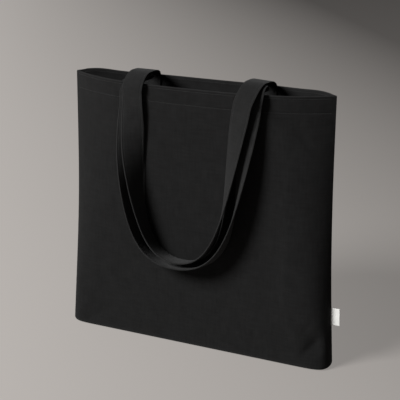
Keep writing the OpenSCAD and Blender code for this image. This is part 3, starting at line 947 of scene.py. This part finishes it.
# %% [markdown]
# A leg hangs from just below the rim to the lowest point of its loop, along a smooth curve in the plane
# of the panel. On its way down it turns from flat on the panel to edge on, so its middle moves out by up
# to half its width. The back handle's legs lie over the front handle's, so they stand out further.

# %% A leg of a handle
def twist(z, low, first, power):
    """How far a leg is turned at height z, in degrees, from first at the top to LOW_TURN."""
    q = min(1, max(0, (TWIST_TOP - z) / (TWIST_TOP - low)))
    eased = q * q * (1 + TWIST_EASE) / (q + TWIST_EASE)
    return first + (LOW_TURN - first) * (1 - (1 - eased) ** power)


def leg(aims, low_x, low_z, bias, lift, first, power):
    """One leg from the rim down to the lowest point, as [middle point, direction across]. The curve
    aims at three places across, the second at the share bias of the way down. lift is the room for a
    strap inside it, and it twists from the angle first, sooner with more power."""
    heights = LEG_TOP, LEG_TOP - (LEG_TOP - low_z) * bias, low_z, low_z
    curve = [Vector(p) for p in zip((*aims, low_x), heights)]
    side = math.copysign(1, aims[0])
    stations = []
    for k in range(LEG_STEPS + 1):
        t = k / LEG_STEPS
        (x, z), ahead, behind = (bezier(curve, min(1, max(0, t + step))) for step in (0, 0.01, -0.01))
        out = side * Vector((behind.y - ahead.y, ahead.x - behind.x)).normalized()
        turn = twist(z, low_z, first, power)
        c, s = math.cos(math.radians(turn)), math.sin(math.radians(turn))
        slope = (skin(x + 1, z) - skin(x - 1, z)) / 2
        y = -skin(x, z) - STRAP_GAP - lift * max(0, c) - STRAP_T / 2 * abs(c) - STRAP_W / 2 * s
        stand_off = LEFT_STAND_OFF if side < 0 else 0 if lift else FRONT_RIGHT_STAND_OFF
        y -= stand_off * math.exp(-(((z - STAND_OFF_Z) / STAND_OFF_REACH) ** 2))
        stations.append([Vector((x, y, z)), turned(Vector((out.x, -slope * out.x, out.y)), turn)])
    return stations


low_z = RIM_Z - BACK_DROP
BACK_LOW_X, FRONT_LOW_X = -7, -9
back_legs = {
    -1: leg([-(STRAP_X - k) for k in (6, 13, 10)], BACK_LOW_X, low_z, 0.55, OVER_LIFT, BACK_TURN[-1], 2),
    1: leg([STRAP_X - k for k in (4, 26.5, 24)], BACK_LOW_X, low_z, 0.48, OVER_LIFT, BACK_TURN[1], 0.95),
}
low_z = RIM_Z - BACK_DROP - LOOP_STEP
front_legs = {
    -1: leg([-(STRAP_X + k) for k in (0, -2, 16)], FRONT_LOW_X, low_z, 0.52, 0, FRONT_TURN[-1], 2),
    1: leg([STRAP_X + k for k in (6, -9, -2)], FRONT_LOW_X, low_z, 0.46, 0, FRONT_TURN[1], 1.25),
}
print("each leg has", len(back_legs[1]), "stations")

# %% [markdown]
# An arch rises from the sewn end, bends over and comes down to its leg. The back handle crosses the
# mouth high up. The front handle turns over just behind the front rim, and from there follows the back
# handle's arch down, inside it.

# %% The arches over the rim
FOOT_Z = RIM_Z - 2
FALL_LEAN, FALL_BULGE = 19, {-1: Vector((-5, 8, 0)), 1: Vector((-5, 5, 0))}
CREST_SHIFT, ARCH_TURN = {-1: 1, 1: 3.5}, Vector((0, 5, -3.4))


def arch_fall(x, crest, leg_path):
    """From the crest of an arch down to the start of a leg."""
    end = leg_path[0][0]
    side = math.copysign(1, x)
    across = turned(width_at(end.x + 8 * side, -1), BACK_TURN[side])
    lean = (leg_path[1][0] - end) / (end.z - leg_path[1][0].z)
    over, above = crest - Vector((0, CREST_BACK[side] / 2, 0)), end - lean * FALL_LEAN - FALL_BULGE[side]
    points = sampled([crest, over, above, end], ARCH_STEPS)
    return [[p, mix(across, leg_path[0][1], i / ARCH_STEPS)] for i, p in enumerate(points)]


def rise_to(foot, points, x, back, across):
    """The sewn end and the rise out of the bag, up to a crest or a turn."""
    tail = [Vector((x, back * tail_y(x, RIM_Z - TAIL_H), RIM_Z - TAIL_H)), width_at(x, back)]
    rise = sampled([foot, *points], ARCH_STEPS)
    return [tail] + [[p, mix(width_at(x, back), across, i / ARCH_STEPS)] for i, p in enumerate(rise)]


def back_arch(x, leg_path):
    """The back handle's arch over the mouth, from its sewn end to the start of its leg."""
    foot = Vector((x, tail_y(x, FOOT_Z), FOOT_Z))
    end = leg_path[0][0]
    side = math.copysign(1, x)
    crest = Vector(((x + end.x) / 2 + CREST_ASIDE[side], end.y + CREST_BACK[side], CREST_Z))
    fall = arch_fall(x, crest, leg_path)
    points = [foot + Vector((0, 0, ARCH_RISE * 0.6)), crest + Vector((0, CREST_BACK[side], 0)), crest]
    return rise_to(foot, points, x, 1, fall[0][1]) + fall[1:]


def front_arch(x, leg_path, over_arch):
    """The front handle's arch turns over its own rim and follows the back handle's arch down, inside it."""
    foot = Vector((x, -tail_y(x, FOOT_Z), FOOT_Z))
    first, last = ARCH_STEPS + 1, len(over_arch) - 1
    end = leg_path[0][0]
    shift_end = end.x - over_arch[last][0].x
    shift_crest = CREST_SHIFT[math.copysign(1, x)]
    fall = []
    for i in range(first, last + 1):
        along = (over_arch[min(i + 1, last)][0] - over_arch[i - 1][0]).normalized()
        across = over_arch[i][1]
        shift = mix(shift_crest, shift_end, ((i - first) / (last - first)) ** 2)
        inwards = Vector((0, along.z, -along.y)) * OVER_LIFT
        fall.append([over_arch[i][0] - inwards + across * (shift / across.x), across])
    miss = end - fall[-1][0]
    for n, (p, across) in enumerate(fall):
        k = n / (last - first)
        k = k * k * (3 - 2 * k)
        fall[n] = [p + miss * k, mix(across, leg_path[0][1], k)]
    crest = fall[0][0]
    turn = crest + ARCH_TURN
    over = sampled([turn, turn + Vector((0, 0, 2.2)), crest + Vector((0, 3, 0)), crest], 5)
    points = [foot + Vector((0, 0, 7)), turn - Vector((0, 0, 4.5)), turn]
    rise = rise_to(foot, points, x, -1, fall[0][1])
    return rise + [[p, fall[0][1]] for p in over[1:]] + fall[1:-1] + [leg_path[0]]


back_arches = {side: back_arch(BACK_X[side], back_legs[side]) for side in (-1, 1)}
front_arches = {side: front_arch(FRONT_X[side], front_legs[side], back_arches[side]) for side in (-1, 1)}
print("back arches reach", [round(max(p.z for p, _ in back_arches[k])) for k in (-1, 1)], "mm up")


# %% The whole straps
def whole_strap(left_arch, left_leg, right_leg, right_arch):
    """From one sewn end to the other. Where two parts meet, they share a station."""
    path = left_arch + left_leg[1:] + right_leg[:-1][::-1] + right_arch[::-1][1:]
    return [(p, across.normalized()) for p, across in path]


back_strap = whole_strap(back_arches[-1], back_legs[-1], back_legs[1], back_arches[1])
front_strap = whole_strap(front_arches[-1], front_legs[-1], front_legs[1], front_arches[1])
print("stations:", len(back_strap), "on the back handle and", len(front_strap), "on the front handle")

# %% [markdown]
# The stations are a few millimetres apart in the folds and further apart on the legs. A smooth curve
# through them adds three more between each two, so that no facets show along an edge.

# %% Finer stations
FINER = 4


def smooth_between(a, b, c, d, t):
    """The value at share t between b and c, on a smooth curve through all four (Catmull-Rom)."""
    return 0.5 * (2 * b + (c - a) * t + (2 * a - 5 * b + 4 * c - d) * t * t + (3 * b - a - 3 * c + d) * t**3)


def finer(path):
    """FINER times the stations, each as (middle, across, face direction, length so far)."""
    points, last = [], len(path) - 1
    for k in range(last):
        four = [path[max(0, min(last, n))] for n in (k - 1, k, k + 1, k + 2)]
        straight = k in (0, last - 1)
        for step in range(FINER):
            t = step / FINER
            if straight:
                points.append(tuple(mix(b, c, t) for b, c in zip(four[1], four[2])))
            else:
                points.append(tuple(smooth_between(*values, t) for values in zip(*four)))
    points.append(path[last])
    lengths = running_lengths([p for p, _ in points])
    stations = []
    for k, (p, across) in enumerate(points):
        along = points[min(k + 1, len(points) - 1)][0] - points[max(k - 1, 0)][0]
        across = across.normalized()
        stations.append((p, across, along.cross(across).normalized(), lengths[k]))
    return stations


back_stations, front_stations = finer(back_strap), finer(front_strap)
for strap_name, stations in (("back", back_stations), ("front", front_stations)):
    print(strap_name, "handle is cut", round(stations[-1][3]), "x", STRAP_W * 4, "mm before it is folded")

# %% [markdown]
# The strap's section is a flat bar with soft edges. A dip runs along each edge where the stitching pulls
# the plies together, and on one edge the last fold shows as a fine groove. One end of every length is
# shared with the next, so the pieces meet exactly, and each piece can follow its own part of the handle
# when that is lifted.

# %% A length of strap
EDGE_ROW, EDGE_ROW_T, EDGE_ROW_PITCH = STRAP_W / 2 - 3.2, 0.76, 3.2
HALF_W = STRAP_W / 2 - 0.15
FACE_PROFILE = [
    (-HALF_W + 0.25, 0.62), (-HALF_W + 0.9, 0.98), (-HALF_W + 1.8, 1.08), (-EDGE_ROW - 0.7, 0.98),
    (-EDGE_ROW, EDGE_ROW_T), (-EDGE_ROW + 0.8, 0.98), (-EDGE_ROW + 2.2, 1.1), (-5, 1.13), (0, 1.1),
]
FACE_PROFILE += [(-a, b) for a, b in FACE_PROFILE[-2::-1]]
SECTION = (
    FACE_PROFILE
    + [(HALF_W, 0.3), (HALF_W - 0.45, 0.0), (HALF_W, -0.3)]
    + [(-a, -b) for a, b in FACE_PROFILE]
    + [(-HALF_W, -0.35), (-HALF_W - 0.05, 0.0), (-HALF_W, 0.35)]
)
print("the strap's section has", len(SECTION), "corners")


def on_strap(station, a, b):
    """The point of a strap a mm across from its middle and b mm out of its face, with a little life."""
    p, across, face, length = station
    wave = 0.16 * noise.noise(Vector((length / 26, a / 11, 4.0)))
    edge = 0.22 * noise.noise(Vector((length / 17, math.copysign(3, a), 8.0))) * (abs(a) / HALF_W) ** 4
    return p + across * (a - math.copysign(abs(edge), a)) + face * (b * (1 + 0.1 * wave) + wave * 0.6)


def strap_length(name, stations, first, last, node):
    """The strap from one station to another, with its two edge rows of stitching on both faces."""
    part = stations[first : last + 1]
    around = len(SECTION)
    loop = [Vector(c) for c in SECTION + SECTION[:1]]
    girth = running_lengths(loop)
    bm = shaped_grid(
        around,
        len(part) - 1,
        lambda i, j: on_strap(part[j], *SECTION[i % around]),
        lambda i, j: (girth[i], part[j][3]),
        lambda i, j: 0.9 * max(0, (abs(SECTION[i % around][0]) - HALF_W + 1.2) / 1.2),
    )
    bmesh.ops.remove_doubles(bm, verts=bm.verts, dist=0.001 * MM)
    open_edges = [e for e in bm.edges if e.is_boundary]
    bmesh.ops.holes_fill(bm, edges=open_edges, sides=0)
    for e in open_edges:
        e.smooth = False
    bmesh.ops.recalc_face_normals(bm, faces=bm.faces)
    for a in (-EDGE_ROW, EDGE_ROW):
        for face in (1, -1):
            spots = [(on_strap(st, a, face * (EDGE_ROW_T + 0.1)), st[2] * face) for st in part]
            stitch_line(bm, spots, pitch=EDGE_ROW_PITCH, material=1)
    made = as_object(name, bm, strap_canvas, thread)
    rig.replaces(made, node)
    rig.slot(made, "black_strap")
    # The sheet is one ply as wide as the strap. The four plies are four times that.
    length = (part[-1][3] - part[0][3]) * MM
    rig.sheet(made, flat=(STRAP_W * MM, length), held="folded", rests_on=["front_panel_cloth"])
    return made


# %% The lengths of both handles
# Each part of a handle on one side: its first and last station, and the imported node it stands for
BACK_PARTS = {
    "tail": (0, 1, "tail"),
    "rear_bend": (1, 6, "rear_bend"),
    "bridge": (6, 8, "bridge"),
    "front_bend": (8, 30, "front_bend"),
}
FRONT_PARTS = {"tail": (0, 1, "tail"), "arch": (1, 16, "bend"), "bend": (16, 30, "bend")}
LOOP_CUT = 30


def lengths_of(handle, stations, parts):
    """Every length of one handle: its parts on the left, their partners on the right, and its loop."""
    last = (len(stations) - 1) // FINER
    made = {}
    for part, (a, b, node_part) in parts.items():
        for side, first, stop in (("left", a, b), ("right", last - b, last - a)):
            name = f"{handle}_{side}_{part}_strap"
            node = f"{handle}_{side}_{node_part}"
            made[side, part] = strap_length(name, stations, first * FINER, stop * FINER, node)
    made["loop"] = strap_length(
        handle + "_loop_strap", stations, LOOP_CUT * FINER, (last - LOOP_CUT) * FINER, handle + "_loop"
    )
    return made


back_handle = lengths_of("back_handle", back_stations, BACK_PARTS)
front_handle = lengths_of("front_handle", front_stations, FRONT_PARTS)
print("lengths of strap:", len(back_handle), "in the back handle,", len(front_handle), "in the front one")

# %% [markdown]
# ## How the handles move
#
# The sewn ends stay on the bag. The back handle bends at the back rim and again at the front rim, and
# the front handle bends at the front rim only. A bend follows one body at one end and the next body at
# the other. The line that it bends along slants forward and down, as the strap does there, so that
# the strap unrolls over its whole length when it is lifted and doesn't crease.

# %% Bodies of the handles
def bend_line(slant, start, end):
    """The start and end of a bend in millimetres, along a direction in the side view that is slanted
    by an angle in degrees."""
    direction = Vector((0, math.cos(math.radians(slant)), math.sin(math.radians(slant))))
    return {"start": direction * start * MM, "end": direction * end * MM}


# Each as (slant, start, end)
REAR_BEND, FRONT_BEND = (154, 142, 146.6), (210, -197.5, -122)
FRONT_HANDLE_BENDS = {"left": (226, -269.5, -221.6), "right": (238, -321, -273.2)}
for side in ("left", "right"):
    for piece in (back_handle[side, "tail"], front_handle[side, "tail"], front_handle[side, "arch"]):
        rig.ride(piece, "bag")
    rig.ride(back_handle[side, "bridge"], "back_handle_bridge")
    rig.blend(back_handle[side, "rear_bend"], "bag", "back_handle_bridge", **bend_line(*REAR_BEND))
    front_bend = back_handle[side, "front_bend"]
    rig.blend(front_bend, "back_handle_bridge", "back_handle_loop", **bend_line(*FRONT_BEND))
    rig.blend(front_handle[side, "bend"], "bag", "front_handle_loop", **bend_line(*FRONT_HANDLE_BENDS[side]))
for piece, body in ((back_handle["loop"], "back_handle_loop"), (front_handle["loop"], "front_handle_loop")):
    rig.ride(piece, body)
slants = [bend[0] for bend in (REAR_BEND, FRONT_BEND, *FRONT_HANDLE_BENDS.values())]
print("the bends slant at", slants, "degrees")

# %% [markdown]
# ## Where the handles are sewn on
#
# Each sewn end is held by a box of stitches with a cross in it, through the strap and the hem. The
# stitches show on the strap's inner face and outside on the panel.

# %% Box stitching
BOX_LOW, BOX_HIGH = HEM_S + 3.2, BAG_H - EDGE_STITCH - 1.6
BOX_REACH = STRAP_W / 2 - 4


def box_runs(x):
    """The four sides of the box round x, and its two diagonals."""
    left, right = x - BOX_REACH, x + BOX_REACH
    corners = [(left, BOX_LOW), (right, BOX_LOW), (right, BOX_HIGH), (left, BOX_HIGH)]
    return [(corners[a], corners[b]) for a, b in ((0, 1), (1, 2), (2, 3), (3, 0), (0, 2), (1, 3))]


def tail_spot(x, p, wall):
    """A spot on the inner face of the sewn end at x, and the direction out of it."""
    z = p[1] * RIM_Z / BAG_H
    flat = Vector((1, wall * tail_slope(x) * math.copysign(1, x), 0)).normalized()
    inwards = Vector((flat.y, -flat.x, 0)) * wall
    middle = Vector((x, wall * tail_y(x, z), z)) + flat * (p[0] - x)
    return middle + inwards * (STRAP_T / 2 + 0.05), inwards


for wall_name, wall, places in (("front", -1, FRONT_X), ("back", 1, BACK_X)):
    bm = bmesh.new()
    for x in places.values():
        for a, b in box_runs(x):
            steps = [(mix(a[0], b[0], k / 12), mix(a[1], b[1], k / 12)) for k in range(13)]
            stitch_line(bm, [wall_place(px, ps, wall, OUTER_IN, CANVAS_T / 2 + 0.1) for px, ps in steps])
            stitch_line(bm, [tail_spot(x, p, wall) for p in steps])
    boxes = as_object(wall_name + "_box_stitches", bm, thread)
    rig.ride(boxes, "bag")
    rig.replaces(boxes, wall_name + "_tail_stitching")
    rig.slot(boxes, "black_thread")
    print(boxes.name, len(boxes.data.polygons), "faces")

# %% [markdown]
# ## The side label
#
# A short length of white satin ribbon, folded in half and caught in the side seam. It is left plain. Its
# fold is at the outer end, and its two cut edges are sealed by heat, so they are only a little ragged.

# %% Label
LABEL_W, LABEL_H, LABEL_Z, LABEL_T = 13, 26, 64, 0.4
RIBBON_ROWS, RIBBON_H, RIBBON_UP, FOLD_OUT = 24, 25, 0.7, 0.33
label_x = open_w(LABEL_Z)
label_lean = (open_w(LABEL_Z) - open_w(LABEL_Z + LABEL_H)) / LABEL_H
label_low, label_high = (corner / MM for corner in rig.box("side_label"))
print("room for the label in mm:", [round(c, 1) for c in label_high - label_low])


def ribbon_path():
    """Across the label: out along the front ply, round the fold and back along the other ply."""
    end = LABEL_W - 0.3 - FOLD_OUT
    out = [Vector((end * k / 12, -FOLD_OUT)) for k in range(13)]
    turns = [math.pi * k / 8 for k in range(1, 8)]
    fold = [Vector((end + FOLD_OUT * math.sin(a), -FOLD_OUT * math.cos(a))) for a in turns]
    return out + fold + [Vector((p.x, FOLD_OUT)) for p in reversed(out)]


ribbon_line = ribbon_path()
ribbon_lengths = running_lengths(ribbon_line)


def ribbon_point(i, j):
    """A point of the ribbon, which curls a little towards its fold and is ragged along its cut edges."""
    p, h = ribbon_line[i], RIBBON_UP + RIBBON_H * j / RIBBON_ROWS
    share = p.x / LABEL_W
    curl = 0.5 * share * share * math.sin(h / LABEL_H * math.pi * 1.1 + 0.4)
    curl += 0.15 * noise.noise(Vector((p.x / 5, h / 7, 1)))
    ragged = 0.12 * noise.noise(Vector((ribbon_lengths[i] / 1.3, j, 2))) if j in (0, RIBBON_ROWS) else 0
    return Vector((label_x + p.x - label_lean * h, p.y - curl * 0.5 + 0.1, LABEL_Z + h + ragged))


bm = shaped_grid(
    len(ribbon_line) - 1,
    RIBBON_ROWS,
    ribbon_point,
    lambda i, j: (ribbon_lengths[i], RIBBON_H * j / RIBBON_ROWS),
)
label = give_thickness(as_object("side_label_ribbon", bm, ribbon), LABEL_T - 0.08)
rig.ride(label, "side_label")
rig.replaces(label, "side_label")
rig.slot(label, "white_ribbon")
print("the ribbon is", round(ribbon_lengths[-1], 1), "mm long round its fold")

# %% [markdown]
# ## What each cloth was cut from
#
# Each sheet is declared with the flat size that it was cut to.

# %% Sheets
for wall, (cloth, cut_w, cut_l) in bag_panels.items():
    sewn_on = seam_pieces if wall < 0 else []
    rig.sheet(cloth, flat=(cut_w, cut_l), held="stretched", rests_on=["floor"], with_pieces=sewn_on)
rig.sheet(label, flat=(2 * LABEL_W * MM, LABEL_H * MM), held="folded", rests_on=["front_panel_cloth"])
print("sheets besides the straps:", len(bag_panels) + 1)

# %% [markdown]
# ## Floor and light
#
# A pale, warm grey floor runs out of view. One large soft lamp, high on the left in front, models the
# folds, and the pale surroundings lift the shadows a little. Black cloth needs more light than a pale
# floor can take before it turns white. So the floor's own colour is a mid grey, and a share of what the
# eye sees of it is painted light: a glow that is brightest in front on the left, below the lamp, and fades
# towards the back. It also paints the bag's shadow on the floor paler.

# %% Floor
# The direction in which the glow, which is painted light, fades, and how far along it in metres it starts and stops
# fading
GLOW_FALL, GLOW_FROM, GLOW_TO = (0.417, 0.287, 0), -0.2, 0.62


def lit_floor(name, colour, seen_colour, glow, bright, dim):
    """A matte floor with painted light. What the eye sees of it is evened out by a share of glow, a painted
    pool of light that goes from bright in front on the left to dim at the back on the right, and lights nothing else."""
    made = bpy.data.materials.new(name)
    made.use_nodes = True
    tree = made.node_tree
    shader = tree.nodes["Principled BSDF"]
    shader.inputs["Base Color"].default_value = linear(colour)
    shader.inputs["Roughness"].default_value = 0.85
    place = add(tree, "ShaderNodeTexCoord").outputs["Object"]
    away = add(tree, "ShaderNodeVectorMath", {0: place, 1: GLOW_FALL}, operation="DOT_PRODUCT")
    fading = {"From Min": GLOW_FROM, "From Max": GLOW_TO, "To Min": bright, "To Max": dim}
    level = add(tree, "ShaderNodeMapRange", {0: away.outputs["Value"], **fading})
    # Painted light: a pool of lamplight painted on the floor, brightest in front on the left, which also makes the
    # bag's shadow paler
    glowing = add(tree, "ShaderNodeEmission", {"Color": linear(seen_colour), "Strength": level.outputs[0]})
    rays = add(tree, "ShaderNodeLightPath").outputs
    seen = rays["Is Camera Ray"]
    for other in ("Is Glossy Ray", "Is Transmission Ray"):
        seen = add(tree, "ShaderNodeMath", {0: seen, 1: rays[other]}, operation="MAXIMUM").outputs[0]
    part = add(tree, "ShaderNodeMath", {0: seen, 1: glow}, operation="MULTIPLY")
    both = add(tree, "ShaderNodeMixShader", {0: part.outputs[0], 1: shader.outputs[0], 2: glowing.outputs[0]})
    tree.links.new(both.outputs[0], tree.nodes["Material Output"].inputs["Surface"])
    return made


# The grey is the floor's own paint; the glow on top of it is painted light, a pool of lamplight and a paler shadow
floor_paint_and_painted_light = lit_floor("matte_paint_warm_grey_with_painted_light", "#8e8985", "#e6e0db", glow=0.5, bright=0.92, dim=0.1)
bm = bmesh.new()
bmesh.ops.create_grid(bm, x_segments=1, y_segments=1, size=8)
floor = as_object("floor", bm, floor_paint_and_painted_light)
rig.stage(floor)
print("the floor is", [round(c) for c in floor.dimensions.xy], "m across")


# %% Lamp
def soft_lamp(name, place, aim, size, power):
    lamp = bpy.data.lights.new(name, "AREA")
    lamp.shape = "DISK"
    lamp.size = size
    lamp.energy = power
    made = bpy.data.objects.new(name, lamp)
    bpy.context.scene.collection.objects.link(made)
    made.location = place
    made.rotation_euler = (Vector(aim) - Vector(place)).to_track_quat("-Z", "Y").to_euler()
    return made


key_lamp = soft_lamp("key_lamp", place=(-2.3, -3.8, 3.2), aim=(0, 0, 0.2), size=2.1, power=430)
print("the lamp is", round(key_lamp.location.length, 1), "m from the bag")

# %% Surroundings
# How strongly they light the bag, and how bright they look to the eye
SKY_LIGHT, SKY_SEEN = 0.04, 0.12
world = bpy.data.worlds.new("pale_room")
bpy.context.scene.world = world
world.use_nodes = True
background = world.node_tree.nodes["Background"]
background.inputs["Color"].default_value = linear("#f2efec")
rays = add(world.node_tree, "ShaderNodeLightPath").outputs
strengths = {0: rays["Is Camera Ray"], 1: SKY_SEEN - SKY_LIGHT, 2: SKY_LIGHT}
level = add(world.node_tree, "ShaderNodeMath", strengths, operation="MULTIPLY_ADD")
world.node_tree.links.new(level.outputs[0], background.inputs["Strength"])
bpy.context.scene.view_settings.view_transform = "Standard"
print("surroundings:", SKY_LIGHT, "as light and", SKY_SEEN, "as seen")

# %% Write both boxes and finish
json.dump(
    {"cad": [list(c) for c in cad_box], "visual": [list(c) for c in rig.bounds()]},
    open("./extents.json", "w"),
)
